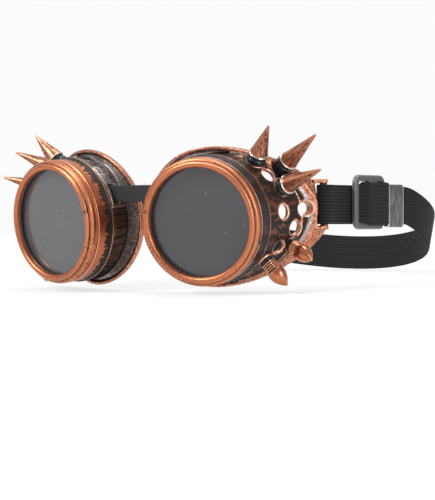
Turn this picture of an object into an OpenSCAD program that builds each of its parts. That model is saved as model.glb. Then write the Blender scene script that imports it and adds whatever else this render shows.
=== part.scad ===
// Round-lens costume goggles with riveted spikes, worn on a head.
// Origin: midway between the two lens centres, at the front of the retaining rings.
// +X is the wearer's left, -Y the way the goggles look, +Z up. Millimetres.

/* [Eyecup placing] */
// Distance from the middle plane to each lens centre
lens_half_spacing = 44.8; // [42:0.2:50]
// Outward turn of each eyecup
toe_out = 10.75; // [6:0.25:14]
// Downward look of each eyecup
nose_down = 4.5; // [2:0.5:7]

/* [Retaining ring] */
// Outside diameter of the screwed retaining ring
ring_d = 60.3; // [59:0.1:64]
// Diameter of the clear opening in front of the lens
opening_d = 51.2; // [47:0.1:52]
// Radius of the front bead
front_bead_r = 1.6; // [1.2:0.1:1.8]
// Radius of the rear bead's edges
rear_bead_r = 1.5; // [1.2:0.1:1.7]
// Length of the flat on the rear bead, for a slip-on cap
bead_land = 1; // [0.8:0.1:1.4]
// Length of the ring in front of the barrel
ring_len = 6; // [5.6:0.1:7]
// Length of the threaded skirt inside the barrel
skirt_len = 4.8; // [3:0.1:6]
// Diameter of the threaded skirt
skirt_d = 56.8; // [56.4:0.1:57.2]
// Radial running clearance of the skirt
skirt_gap = 0.05; // [0.02:0.01:0.09]

/* [Lens] */
// Diameter of the lens
lens_d = 54.2; // [53.4:0.1:54.4]
// Thickness of the lens
lens_t = 2; // [1.5:0.1:2.5]
// Thickness of the front gasket
front_gasket_t = 1.45; // [1:0.05:1.6]
// Thickness of the rear gasket
rear_gasket_t = 1.05; // [0.8:0.05:1.4]

/* [Barrel] */
// Length of the barrel band
barrel_len = 9; // [8.5:0.1:11]
// How far the barrel's sharp rear edge stands out past the ring
barrel_edge = 0.65; // [0.3:0.05:1.5]
// Thickness of the web that closes the skirt's groove
web_t = 1.5; // [1:0.1:2]

/* [Eyecup shell] */
// Radius of the shell where it leaves the barrel
shell_r = 28.7; // [28.3:0.1:29.5]
// Wall thickness of the shell
shell_t = 2; // [1.6:0.1:2.4]
// Half angle by which the shell widens to the rear
shell_flare = 7.5; // [6.5:0.25:8.5]
// Turn of the shell's axis towards the temple
shell_sweep = 7.5; // [6.5:0.25:8.5]
// Radius of the face that the rim fits
face_r = 84.1; // [80:0.1:95]
// Radius of the rim
rim_r = 33.5; // [33:0.1:35]
// Turn of the rim's axis towards the temple
rim_sweep = 23.4; // [20:0.2:25]
// Thickness of the rim's flange
flange_t = 1.6; // [1.2:0.1:2]
// Width of the bead round the rim
lip_t = 1.6; // [1.2:0.1:1.8]
// Height of the bead in front of the face
lip_h = 3.6; // [2.8:0.1:4.4]
// Radius of each vent
vent_r = 3.4; // [3:0.1:3.8]
// Width of the bevel round each vent
vent_bevel = 0.5; // [0.3:0.1:0.8]

/* [Spikes] */
// Base diameter of the long spikes
spike_d = 8.8; // [8:0.1:9.2]
// Largest diameter of the bullet studs
bullet_d = 8.2; // [7.6:0.1:8.4]
// Diameter of the black collars under the spikes
collar_d = 9.4; // [9:0.1:9.6]
// Thickness of the bright washers
washer_t = 0.8; // [0.6:0.1:1]
// Diameter of the screws that hold the spikes
screw_d = 3; // [2.6:0.1:3.2]

/* [Nose bridge] */
// Height of the rubber nose strip
bridge_h = 8; // [6:0.1:9]
// Thickness of the rubber nose strip
bridge_t = 1.8; // [1.2:0.1:2]
// Distance of the nose strip behind the ring fronts
bridge_y = 13.8; // [13:0.1:15]
// Height of the nose strip's middle above the lens centres
bridge_z = 13.7; // [12:0.1:15]

/* [Strap] */
// Width of the webbing
strap_w = 18.8; // [17:0.2:20]
// Thickness of one layer of webbing
strap_t = 1.2; // [0.9:0.1:1.3]
// Height of the strap's middle at the temple bars
strap_z = 6.9; // [5:0.1:8]
// Radius of the temple bar
bar_r = 1.7; // [1.5:0.1:1.9]
// Downward slope of the sides of the strap
side_droop = 2; // [0:0.2:4]
// Further downward slope of the strap behind the ears
back_droop = 18; // [8:0.5:20]
// Distance from the ring fronts to where the strap starts to drop
drop_y = 129; // [128:0.5:140]
// Radius of the bend in which it drops
drop_r = 32; // [25:1:60]
// Length of the round part behind the head
round_len = 76; // [70:1:95]

/* [Slider and clips] */
// Length of the slider frame along the strap
slider_l = 27; // [25:0.5:29]
// Height of the slider frame
slider_h = 26.4; // [25.5:0.1:28]
// Thickness of the slider frame
slider_t = 2.6; // [2:0.1:3]
// Width of the slider's bars
slider_bar = 3.2; // [2.6:0.1:3.4]
// Distance from the ring fronts to the slider
slider_y = 78; // [76:0.5:80]
// Length of the sheet-metal clip along the strap
clip_l = 14; // [10:0.5:15]
// Sheet thickness of the clips
clip_t = 0.8; // [0.6:0.1:1]

/* [Hidden] */

left = 1;
right = -1;
$fn = 96;
copper = "#b8643c";
dark_copper = "#4a3328";
black_metal = "#17161a";
bright_metal = "#c9c2b6";
webbing_black = "#1e1d20";
big = 200;
face_gap = 0.05;

// Stations along the lens axis, behind the front of the ring
lip_floor = 2.9;
lens_front = lip_floor + face_gap + front_gasket_t;
lens_back = lens_front + face_gap + lens_t;
seat_w = lens_back + face_gap + rear_gasket_t + face_gap;
barrel_front = ring_len + face_gap;
barrel_rear = ring_len + barrel_len;
skirt_end = ring_len + skirt_len;
web_front = skirt_end + 0.3;
web_rear = web_front + web_t;

// Radii round the lens axis
opening_r = opening_d / 2;
skirt_r = skirt_d / 2;
pocket_r = lens_d / 2 + 0.1;
neck_r = pocket_r - 0.25;
neck_bore_r = opening_r - 0.7;
spigot_r = skirt_r - 0.1;
barrel_r = ring_d / 2 + barrel_edge;

// The rim follows a cylinder that stands for the face
rim_center = [4.25, 40.5];
face_center = [-15.2, 26.6 + face_r];
rib_count = 3;
rib_step = 1.2;

// Vents: distance along the shell's axis, angle above the temple
vents = [[15, 40], [15.6, 4], [15.6, -28.6], [24, -11.8], [30, 3.6]];

// Spikes: distance along the shell's axis, angle above the temple,
// fan angle and forward lean of the spike, length of its collar, length of its cone.
// They were set by hand, so the two sides differ a little.
left_spikes = [
    [14, 55.5, 59.5, 16.3, 4.8, 16],
    [24, 41, 35.4, 19.7, 7.6, 23],
    [18.5, 25.5, 19.6, 21, 4.4, 23]];
right_spikes = [
    [14, 55.5, 49.3, 11.1, 4.8, 16],
    [24, 41, 23.8, 18.2, 7.6, 23],
    [18.5, 25.5, 18, 28.5, 4.4, 23]];
left_bullets = [
    [23.5, -26, -26.4, 25.8, 1.8, 9.9],
    [8.5, -40, -49, -0.2, 1.6, 9.9]];
right_bullets = [
    [23.5, -26, -26.4, 25.8, 1.8, 9.9],
    [8.5, -40, -52.7, -5, 1.6, 9.9]];
function spikes(side) = side > 0 ? left_spikes : right_spikes;
function bullets(side) = side > 0 ? left_bullets : right_bullets;
boss_h = 1;
boss_r = collar_d / 2 + 0.2;
bullet_base_r = bullet_d / 2 - 0.4;
bullet_neck_h = 4.6;
seat_depth = 1.7;
screw_head_r = 2.8;
screw_head_h = 1.8;
screw_reach = 5;
screw_gap = 0.06;

// The temple bar, in the eyecup's own axes: outward, back, up
bar_place = [43.2, 49.2, 3];
bar_gap = 0.7;
ear_h = 1.8;
slot_half = strap_w / 2 + 0.8;
loop_r = bar_r + bar_gap + strap_t / 2;
loop_hole_r = loop_r + strap_t / 2 + 0.9;
layer_gap = 0.3;
layer_x = (strap_t + layer_gap) / 2;
merge_len = 11;
seam_gap = 0.3;

// The bulbs at the ends of the nose strip
bulb_r = 2.1;
bulb_x = lens_half_spacing - 21;
slot_play = 0.6;
pad_h = 1.3;

// Point of the shell's outside at distance t along its axis and angle a
function shell_radius(t) = shell_r + t * tan(shell_flare);
function shell_point(t, a) =
    [t * sin(shell_sweep) + shell_radius(t) * cos(a) * cos(shell_sweep),
     barrel_rear + t * cos(shell_sweep) - shell_radius(t) * cos(a) * sin(shell_sweep),
     shell_radius(t) * sin(a)];

// A point of the left eyecup's axes in the row's axes
function cup_to_world(p) =
    let (y = p[1] * cos(nose_down) - p[2] * sin(nose_down))
    [lens_half_spacing + p[0] * cos(toe_out) - y * sin(toe_out),
     p[0] * sin(toe_out) + y * cos(toe_out),
     p[1] * sin(nose_down) + p[2] * cos(nose_down)];
bar = cup_to_world(bar_place);

module place_cup(side) {
    mirror([side < 0 ? 1 : 0, 0, 0]) translate([lens_half_spacing, 0, 0])
        rotate([0, 0, toe_out]) rotate([nose_down, 0, 0]) children();
}

// Undoes place_cup for the left side, for cuts that stand upright
module upright() {
    rotate([-nose_down, 0, 0]) rotate([0, 0, -toe_out])
        translate([-lens_half_spacing, 0, 0]) children();
}

// Turns a shape made round +Z so that it lies along the lens axis
module axial() {
    rotate([-90, 0, 0]) children();
}

module ring_between(r_in, r_out, w0, w1) {
    axial() translate([0, 0, w0]) difference() {
        cylinder(r = r_out, h = w1 - w0);
        translate([0, 0, -1]) cylinder(r = r_in, h = w1 - w0 + 2);
    }
}

module retaining_ring(side) {
    bead_r = ring_d / 2 - rear_bead_r;
    land_end = ring_len - rear_bead_r - 0.3;
    color(copper) place_cup(side) axial() rotate_extrude() difference() {
        union() {
        translate([opening_r + front_bead_r, front_bead_r]) circle(r = front_bead_r);
        for (w = [land_end - bead_land, land_end]) translate([bead_r, w]) circle(r = rear_bead_r);
        translate([bead_r, land_end - bead_land]) square([rear_bead_r, bead_land]);
        polygon([
            [opening_r, front_bead_r], [bead_r, land_end - bead_land],
            [bead_r + 0.7, land_end], [bead_r + 0.7, ring_len],
            [skirt_r, ring_len], [skirt_r, skirt_end], [opening_r, skirt_end]]);
        }
        translate([0, lip_floor]) square([pocket_r, skirt_end]);
    }
}

module front_gasket(side) {
    color(black_metal) place_cup(side)
        ring_between(opening_r, lens_d / 2, lip_floor + face_gap, lens_front);
}

module lens(side) {
    color([0.25, 0.25, 0.28, 0.8]) place_cup(side) axial()
        translate([0, 0, lens_front + face_gap]) cylinder(d = lens_d, h = lens_t);
}

module rear_gasket(side) {
    color(black_metal) place_cup(side)
        ring_between(neck_bore_r, lens_d / 2, lens_back + face_gap, seat_w - face_gap);
}

// Double-walled ring: the skirt screws in between its outer band and its inner neck
module barrel(side) {
    band_r = ring_d / 2 - 0.3;
    color(dark_copper) place_cup(side) axial() rotate_extrude() polygon([
        [neck_bore_r, seat_w], [neck_r, seat_w], [neck_r, web_front],
        [skirt_r + skirt_gap, web_front], [skirt_r + skirt_gap, barrel_front],
        [band_r, barrel_front], [band_r + 0.35, barrel_front + 0.3],
        [band_r + 0.35, barrel_front + 0.8], [band_r, barrel_front + 1.2],
        [band_r + 0.2, barrel_rear - 2.4], [barrel_r, barrel_rear - 0.7],
        [barrel_r, barrel_rear], [spigot_r + face_gap, barrel_rear],
        [spigot_r + face_gap, web_rear], [neck_bore_r, web_rear]]);
}

// The shell's axis leaves the barrel's rear face and turns towards the temple
module along_shell() {
    translate([0, barrel_rear, 0]) rotate([0, 0, -shell_sweep]) axial() children();
}

module shell_cone(grow, shift = 0) {
    start = -20;
    end = 60;
    translate([shift, 0, 0]) along_shell() translate([0, 0, start])
        cylinder(h = end - start, r1 = shell_radius(start) + grow,
            r2 = shell_radius(end) + grow);
}

module face_solid(grow) {
    translate([face_center[0], face_center[1], 0])
        cylinder(r = face_r + grow, h = big, center = true);
}

module rim_solid(r) {
    translate([rim_center[0], rim_center[1], 0]) rotate([0, 0, -rim_sweep]) axial()
        cylinder(r = r, h = 60, center = true);
}

module behind_barrel() {
    translate([-big / 2, barrel_rear, -big / 2]) cube(big);
}

// A place on the shell's outside with +Z square to the wall
module on_wall(place) {
    along_shell() rotate([0, 0, -place[1]])
        translate([shell_radius(place[0]), 0, place[0]])
        rotate([0, 90 + shell_flare, 0]) children();
}

// A spike's foot on the shell, with +Z along the spike
module on_spike(spec) {
    translate(shell_point(spec[0], spec[1]))
        rotate([0, 90 - spec[2], 0]) rotate([spec[3], 0, 0]) children();
}

module vent() {
    translate([0, 0, -3 * shell_t]) cylinder(r = vent_r, h = 6 * shell_t);
    translate([0, 0, -vent_bevel])
        cylinder(r1 = vent_r, r2 = vent_r + 2 * vent_bevel, h = 2 * vent_bevel);
}

// Raised pad on the nose side that the strip's slot goes through
module bridge_pad() {
    intersection() {
        shell_cone(pad_h);
        translate([-big / 2 - 15, barrel_rear + 1.5, bridge_z - bridge_h / 2 - 4])
            cube([big / 2, 8, bridge_h + 12]);
    }
}

module bridge_slot() {
    upright() translate([0, bridge_y - bridge_t / 2 - slot_play, bridge_z - bridge_h / 2 - 0.5])
        cube([bulb_x + 0.5, bridge_t + 2 * slot_play, bridge_h + 1]);
}

// Ears above and below the temple slot that carry its bar
module bar_ears() {
    ear_turn = 52;
    for (z = [strap_z - slot_half - ear_h, strap_z + slot_half])
        upright() translate([bar[0], bar[1], z]) {
            cylinder(r = bar_r + 0.5, h = ear_h);
            rotate([0, 0, toe_out + ear_turn]) translate([-6, -1.7, 0]) cube([6, 3.4, ear_h]);
        }
}

// The slot opens to the rear and outwards, so the webbing can swing
module temple_slot() {
    upright() translate([bar[0], bar[1], strap_z]) {
        cylinder(r = loop_hole_r, h = 2 * slot_half, center = true);
        translate([-loop_hole_r * 0.6, 0, -slot_half])
            cube([2 * loop_hole_r, 3 * loop_hole_r, 2 * slot_half]);
    }
}

module temple_bar() {
    upright() translate([bar[0], bar[1], strap_z])
        cylinder(r = bar_r, h = 2 * slot_half + 2, center = true);
}

module shell_outside(side) {
    intersection() {
        behind_barrel();
        shell_cone(0);
    }
    axial() translate([0, 0, web_rear + face_gap])
        cylinder(r = spigot_r, h = barrel_rear - web_rear + 0.5);
    for (spec = spikes(side)) on_spike(spec)
        translate([0, 0, -3 * boss_h]) cylinder(r = boss_r, h = 4 * boss_h);
    for (spec = bullets(side)) on_spike(spec)
        translate([0, 0, -3 * boss_h]) cylinder(r = bullet_base_r + 0.2, h = 4 * boss_h);
    for (i = [1 : rib_count]) intersection() {
        shell_cone(0, rib_step * i);
        face_solid(flange_t + (rib_count + 1 - i) * rib_step);
    }
    bridge_pad();
}

module rim_outside() {
    intersection() {
        rim_solid(rim_r);
        face_solid(flange_t);
    }
    difference() {
        intersection() {
            rim_solid(rim_r);
            face_solid(lip_h);
        }
        rim_solid(rim_r - lip_t);
    }
}

module eyecup(side) {
    color(dark_copper) place_cup(side) {
        difference() {
            union() {
                shell_outside(side);
                rim_outside();
                bar_ears();
            }
            face_solid(0);
            shell_cone(-shell_t);
            for (place = vents) on_wall(place) vent();
            for (spec = concat(spikes(side), bullets(side))) on_spike(spec) {
                translate([0, 0, boss_h]) cylinder(r = collar_d / 2 + 0.3, h = 5);
                translate([0, 0, -5]) cylinder(d = screw_d + 0.2, h = 10);
                translate([0, 0, -seat_depth - 6]) cylinder(r = screw_head_r + 0.5, h = 6);
            }
            bridge_slot();
            temple_slot();
        }
        temple_bar();
    }
}

// A turned piece with a hole for its screw
module turned(points, hole_depth) {
    difference() {
        rotate_extrude() polygon(points);
        translate([0, 0, -1]) cylinder(d = screw_d + 2 * screw_gap, h = hole_depth + 1);
    }
}

function collar_top(spec) = boss_h + spec[4];

module spike_collars(side) {
    color(black_metal) place_cup(side) {
        for (spec = spikes(side)) on_spike(spec) translate([0, 0, boss_h]) turned([
            [0, 0], [collar_d / 2, 0], [collar_d / 2, spec[4] - 1.6],
            [collar_d / 2 - 0.7, spec[4] - 1.2], [collar_d / 2 - 0.7, spec[4] - washer_t],
            [0, spec[4] - washer_t]], spec[4] + 1);
        for (spec = bullets(side)) on_spike(spec) translate([0, 0, boss_h]) turned([
            [0, 0], [bullet_base_r, 0], [bullet_base_r, spec[4]], [0, spec[4]]], spec[4] + 1);
    }
}

module spike_washers(side) {
    color(bright_metal) place_cup(side) for (spec = spikes(side))
        on_spike(spec) translate([0, 0, collar_top(spec) - washer_t]) turned([
            [0, 0], [collar_d / 2 - 0.2, 0], [collar_d / 2 + 0.2, washer_t / 2],
            [collar_d / 2 - 0.2, washer_t], [0, washer_t]], washer_t + 1);
}

// Cone with a short rounded foot and a blunt tip
module long_spike(side, index) {
    spec = spikes(side)[index];
    foot_h = 0.7;
    tip_r = 0.45;
    color(copper) place_cup(side) on_spike(spec) translate([0, 0, collar_top(spec)])
        turned([
            [0, 0], [spike_d / 2 - 0.3, 0], [spike_d / 2, foot_h / 2],
            [spike_d / 2 - 0.15, foot_h], [tip_r, spec[5] - 0.5],
            [tip_r * 0.6, spec[5] - 0.12], [0, spec[5]]], screw_reach);
}

// Stepped neck and an ogive head, turned from one bar
module bullet_stud(side, index) {
    spec = bullets(side)[index];
    neck_top_r = bullet_d / 2 - 0.75;
    ring_count = 3;
    pitch = bullet_neck_h / (ring_count + 0.5);
    shoulder = spec[5] * 0.28;
    ogive = [for (i = [0 : 10]) let (s = i / 10)
        [(bullet_d / 2) * (1 - pow(s, 1.7)) + 0.3 * s * (1 - s),
         bullet_neck_h + shoulder + (spec[5] - shoulder) * s]];
    color(copper) place_cup(side) on_spike(spec) translate([0, 0, collar_top(spec)])
        turned(concat(
            [[0, 0]],
            [for (i = [0 : ring_count - 1]) each [
                [neck_top_r - 0.45, i * pitch], [neck_top_r, i * pitch + 0.25],
                [neck_top_r, i * pitch + 0.75], [neck_top_r - 0.45, i * pitch + 0.95]]],
            [[neck_top_r - 0.45, bullet_neck_h], [bullet_d / 2 - 0.4, bullet_neck_h]],
            ogive), screw_reach - 1);
}

module screw(top) {
    translate([0, 0, -seat_depth - screw_head_h]) {
        cylinder(r = screw_head_r, h = screw_head_h);
        cylinder(d = screw_d, h = seat_depth + screw_head_h + top);
    }
}

module spike_screws(side) {
    color(bright_metal) place_cup(side) {
        for (spec = spikes(side)) on_spike(spec) screw(collar_top(spec) + screw_reach - 0.5);
        for (spec = bullets(side)) on_spike(spec) screw(collar_top(spec) + screw_reach - 1.5);
    }
}

// Rubber strip with a bulb at each end, held behind the eyecups' walls
module nose_bridge() {
    color(black_metal) translate([0, bridge_y, bridge_z]) {
        cube([2 * bulb_x, bridge_t, bridge_h], center = true);
        for (side = [left, right]) translate([side * bulb_x, 0, 0])
            cylinder(r = bulb_r, h = bridge_h, center = true);
    }
}

// Outline of a webbing layer of even thickness along a list of points
function path_dir(path, i) =
    let (a = path[max(i - 1, 0)], b = path[min(i + 1, len(path) - 1)], d = b - a)
    d / norm(d);
function path_side(path, offset) = [for (i = [0 : len(path) - 1])
    let (d = path_dir(path, i)) path[i] + offset * [-d[1], d[0]]];
function reversed(list) = [for (i = [len(list) - 1 : -1 : 0]) list[i]];
module layer(path, width = strap_w) {
    linear_extrude(width, center = true)
        polygon(concat(path_side(path, strap_t / 2), reversed(path_side(path, -strap_t / 2))));
}

// Path of the loop round the temple bar, between the ends of its two legs
loop_path = concat(
    [[bar[0] + layer_x, bar[1] + merge_len + 0.5], [bar[0] + layer_x, bar[1] + merge_len]],
    [for (i = [0 : 16]) let (a = -i * 180 / 16)
        [bar[0] + loop_r * cos(a), bar[1] + loop_r * sin(a)]],
    [[bar[0] - layer_x, bar[1] + merge_len], [bar[0] - layer_x, bar[1] + merge_len + 0.5]]);

// A leg of webbing that stands on edge and follows a path of distances and heights
module leg(x, path) {
    translate([x, 0, 0]) rotate([90, 0, 90]) linear_extrude(strap_t, center = true)
        polygon(concat(path_side(path, strap_w / 2), reversed(path_side(path, -strap_w / 2))));
}

// The sides of the strap slope gently down from the temple bars
module side_slope() {
    translate([0, bar[1], strap_z]) rotate([-side_droop, 0, 0])
        translate([0, -bar[1], 0]) children();
}

// Behind the ears the strap slopes down more and goes round the head
drop_end = [drop_y + drop_r * sin(back_droop), -drop_r * (1 - cos(back_droop))];
module back_slope() {
    side_slope() translate([0, drop_end[0], drop_end[1]]) rotate([-back_droop, 0, 0])
        children();
}

module half_strap(end_y) {
    start_y = bar[1] + merge_len;
    back_r = bar[0] - layer_x;
    bend_steps = 8;
    round_steps = 24;
    side_slope() {
        layer(loop_path);
        leg(bar[0] + layer_x, [[start_y, 0], [end_y, 0]]);
        leg(bar[0] - layer_x, concat(
            [[start_y, 0]],
            [for (i = [0 : bend_steps]) let (a = i * back_droop / bend_steps)
                [drop_y + drop_r * sin(a), -drop_r * (1 - cos(a))]],
            [drop_end + [cos(back_droop), -sin(back_droop)]]));
    }
    back_slope() layer(concat(
        [[back_r, 0]],
        [for (i = [0 : round_steps]) let (a = i * 90 / round_steps)
            [seam_gap / 2 + (back_r - seam_gap / 2) * cos(a), 0.5 + round_len * sin(a)]]));
}

outer_end_left = slider_y + 10;
outer_end_right = bar[1] + 27;

module left_strap() {
    color(webbing_black) half_strap(outer_end_left);
}

module right_strap() {
    color(webbing_black) mirror([1, 0, 0]) half_strap(outer_end_right);
}

// Closed sleeve of sheet metal round the webbing, between two faces in x
module sleeve(x0, x1, y0, length) {
    half_h = strap_w / 2 + 0.4;
    translate([x0 - clip_t, y0, -half_h - clip_t]) difference() {
        cube([x1 - x0 + 2 * clip_t, length, 2 * (half_h + clip_t)]);
        translate([clip_t, -1, clip_t]) cube([x1 - x0, length + 2, 2 * half_h]);
    }
}

module strap_end_clip() {
    half_x = strap_t + layer_gap / 2 + 0.05;
    color(bright_metal) mirror([1, 0, 0]) side_slope()
        sleeve(bar[0] - half_x, bar[0] + half_x, outer_end_right - clip_l + 3, clip_l - 4);
}

slide_gap = 0.3;
frame_x = bar[0] + layer_x + strap_t / 2 + slide_gap;
frame_rise = 1.3;
tail_top = frame_x + slider_t + slide_gap + strap_t / 2;
tail_low = bar[0] - layer_x + strap_t + slide_gap;
clip_y = slider_y + slider_l + 6.5;
clip_drop = 0.3;
loop_w = strap_w - 0.8;
loop_rise = 0.4;

module slider_frame() {
    corner = 4;
    window = (slider_l - 3 * slider_bar) / 2;
    color(black_metal) side_slope() translate([frame_x, slider_y, frame_rise]) rotate([0, 90, 0])
        linear_extrude(slider_t) difference() {
            union() {
                translate([-slider_h / 2, corner]) square([slider_h, slider_l - 2 * corner]);
                translate([-slider_h / 2 + corner, 0]) square([slider_h - 2 * corner, slider_l]);
                for (x = [-1, 1], y = [corner, slider_l - corner])
                    translate([x * (slider_h / 2 - corner), y]) circle(r = corner);
            }
            for (y = [slider_bar, 2 * slider_bar + window])
                translate([-slider_h / 2 + slider_bar, y])
                    square([slider_h - 2 * slider_bar, window]);
        }
}

// The webbing that comes up through the frame, over two bars and into the clip
module slider_webbing() {
    start_y = slider_y + slider_bar + 1.2;
    rise_y = slider_y + slider_l / 2 - slider_bar / 2 - 1;
    fall_y = slider_y + slider_l + 0.8;
    steps = 8;
    low_x = frame_x + strap_t / 2;
    climb = [for (i = [0 : steps]) let (s = i / steps, e = s * s * (3 - 2 * s))
        [low_x + (tail_top - low_x) * e, start_y + (rise_y - start_y) * s]];
    fall = [for (i = [0 : steps]) let (s = i / steps, e = s * s * (3 - 2 * s))
        [tail_top + (tail_low - tail_top) * e, fall_y + (clip_y - 0.5 - fall_y) * s]];
    color(webbing_black) side_slope() translate([0, 0, loop_rise])
        layer(concat(climb, fall, [[tail_low, clip_y + clip_l - 1]]), loop_w);
}

module slider_clip() {
    color(bright_metal) side_slope() translate([0, 0, -clip_drop])
        sleeve(bar[0] - layer_x - strap_t / 2 - slide_gap,
            tail_low + strap_t / 2 + 0.05, clip_y, clip_l);
}

retaining_ring(left);  // left_retaining_ring
lens(left);  // left_lens
front_gasket(left);  // left_front_gasket
rear_gasket(left);  // left_rear_gasket
barrel(left);  // left_barrel
eyecup(left);  // left_eyecup
spike_collars(left);  // left_spike_collars
spike_washers(left);  // left_spike_washers
long_spike(left, 0);  // left_spike_upper
long_spike(left, 1);  // left_spike_middle
long_spike(left, 2);  // left_spike_side
bullet_stud(left, 0);  // left_bullet_side
bullet_stud(left, 1);  // left_bullet_lower
spike_screws(left);  // left_spike_screws
retaining_ring(right);  // right_retaining_ring
lens(right);  // right_lens
front_gasket(right);  // right_front_gasket
rear_gasket(right);  // right_rear_gasket
barrel(right);  // right_barrel
eyecup(right);  // right_eyecup
spike_collars(right);  // right_spike_collars
spike_washers(right);  // right_spike_washers
long_spike(right, 0);  // right_spike_upper
long_spike(right, 1);  // right_spike_middle
long_spike(right, 2);  // right_spike_side
bullet_stud(right, 0);  // right_bullet_side
bullet_stud(right, 1);  // right_bullet_lower
spike_screws(right);  // right_spike_screws
nose_bridge();
left_strap();
right_strap();
strap_end_clip();
slider_frame();
slider_webbing();
slider_clip();
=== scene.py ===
# %% [markdown]
# # Round-lens costume goggles
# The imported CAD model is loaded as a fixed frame. Every piece that is made here sits exactly where
# the CAD puts it, because both use the same axes: +X is the wearer's left, -Y is the way the goggles
# look, +Z is up. The frame is in metres, so sizes below are written in millimetres and scaled once.

# %% Load the frame
import bmesh
import bpy
import math
import numpy as np
from mathutils import Matrix, Vector


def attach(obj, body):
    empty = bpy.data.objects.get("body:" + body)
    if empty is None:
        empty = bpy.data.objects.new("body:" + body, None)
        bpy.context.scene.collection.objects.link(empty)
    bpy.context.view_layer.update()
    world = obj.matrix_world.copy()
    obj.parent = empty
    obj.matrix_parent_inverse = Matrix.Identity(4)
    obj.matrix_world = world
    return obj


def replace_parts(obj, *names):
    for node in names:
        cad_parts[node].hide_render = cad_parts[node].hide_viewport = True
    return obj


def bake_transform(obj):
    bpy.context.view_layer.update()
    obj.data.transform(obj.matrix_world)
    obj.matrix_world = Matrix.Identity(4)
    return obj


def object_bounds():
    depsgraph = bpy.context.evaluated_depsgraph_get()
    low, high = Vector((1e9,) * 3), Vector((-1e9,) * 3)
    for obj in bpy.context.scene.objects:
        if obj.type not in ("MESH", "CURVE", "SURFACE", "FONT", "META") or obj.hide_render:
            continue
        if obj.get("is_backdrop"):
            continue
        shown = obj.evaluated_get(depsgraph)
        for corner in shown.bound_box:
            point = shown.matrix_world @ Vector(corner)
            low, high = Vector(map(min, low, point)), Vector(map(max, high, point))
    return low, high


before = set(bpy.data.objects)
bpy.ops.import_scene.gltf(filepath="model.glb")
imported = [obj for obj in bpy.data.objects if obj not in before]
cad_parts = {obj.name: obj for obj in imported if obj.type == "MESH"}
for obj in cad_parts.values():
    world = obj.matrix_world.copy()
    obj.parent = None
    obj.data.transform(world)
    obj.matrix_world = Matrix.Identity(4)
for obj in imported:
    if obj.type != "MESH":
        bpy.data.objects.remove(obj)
cad_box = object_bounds()
MM = 0.001
print("nodes:", len(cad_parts), "box:", [[round(v, 4) for v in p] for p in cad_box])

# %% [markdown]
# ## Camera
# The camera stands where the photographer stood: a metre away, 36 degrees to the wearer's left and
# barely above the lenses. It was found by fitting the two ring ellipses, so the perspective is right
# as well as the angle. The lens is long, the view is unshifted and nothing is out of focus.

# %% Camera
CAMERA_PLACE = Vector((0.65244, -0.82354, 0.02936))
CAMERA_BACK = Vector((0.586061, -0.809226, 0.041055))
CAMERA_ROLL = math.radians(-1.14)
LENS_MM = 159.2
SENSOR_MM = 36


def make_camera():
    data = bpy.data.cameras.new("camera")
    data.sensor_width = SENSOR_MM
    data.lens = LENS_MM
    data.clip_start = 0.05
    camera = bpy.data.objects.new("camera", data)
    right = Vector((0, 0, 1)).cross(CAMERA_BACK).normalized()
    up = CAMERA_BACK.cross(right)
    turned_right = right * math.cos(CAMERA_ROLL) + up * math.sin(CAMERA_ROLL)
    turned_up = up * math.cos(CAMERA_ROLL) - right * math.sin(CAMERA_ROLL)
    spin = Matrix((turned_right, turned_up, CAMERA_BACK)).transposed()
    camera.matrix_world = Matrix.Translation(CAMERA_PLACE) @ spin.to_4x4()
    bpy.context.collection.objects.link(camera)
    bpy.context.scene.camera = camera


make_camera()
print("camera looks", [round(-v, 3) for v in CAMERA_BACK])

# %% [markdown]
# ## Shader maths as expressions
# A material is easier to read as a formula than as a list of links. `Shade` wraps one socket, and an
# expression on shades adds Math nodes. Colours are mixed with a Mix node, since Math turns them grey.

# %% Shader expressions
class Shade:
    def __init__(self, finish, socket):
        self.finish = finish
        self.socket = socket

    def math(self, operation, *others):
        return self.finish.node("Math", dict(enumerate(others)), operation=operation)

    def __add__(self, other):
        return self.math("ADD", self, other)

    def __sub__(self, other):
        return self.math("SUBTRACT", self, other)

    def __mul__(self, other):
        return self.math("MULTIPLY", self, other)

    def __rsub__(self, other):
        return self.math("SUBTRACT", other, self)

    __radd__ = __add__
    __rmul__ = __mul__

    def least(self, other):
        return self.math("MINIMUM", self, other)

    def most(self, other):
        return self.math("MAXIMUM", self, other)

    def step(self, low, high):
        """0 below low, 1 above high, smooth between them."""
        return self.finish.node("MapRange", {0: self, 1: low, 2: high, 3: 0.0, 4: 1.0},
                                interpolation_type="SMOOTHSTEP")

    def wave(self, length):
        """A ripple between 0 and 1 that repeats every length."""
        turns = self * (2 * math.pi / length)
        return turns.math("SINE", turns) * 0.5 + 0.5

    def stretch(self, x, y, z):
        return self.finish.node("VectorMath", {0: self, 1: (x, y, z)}, operation="MULTIPLY")

    def part(self, axis):
        return self.finish.node("SeparateXYZ", {0: self}, "XYZ".index(axis))


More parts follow.
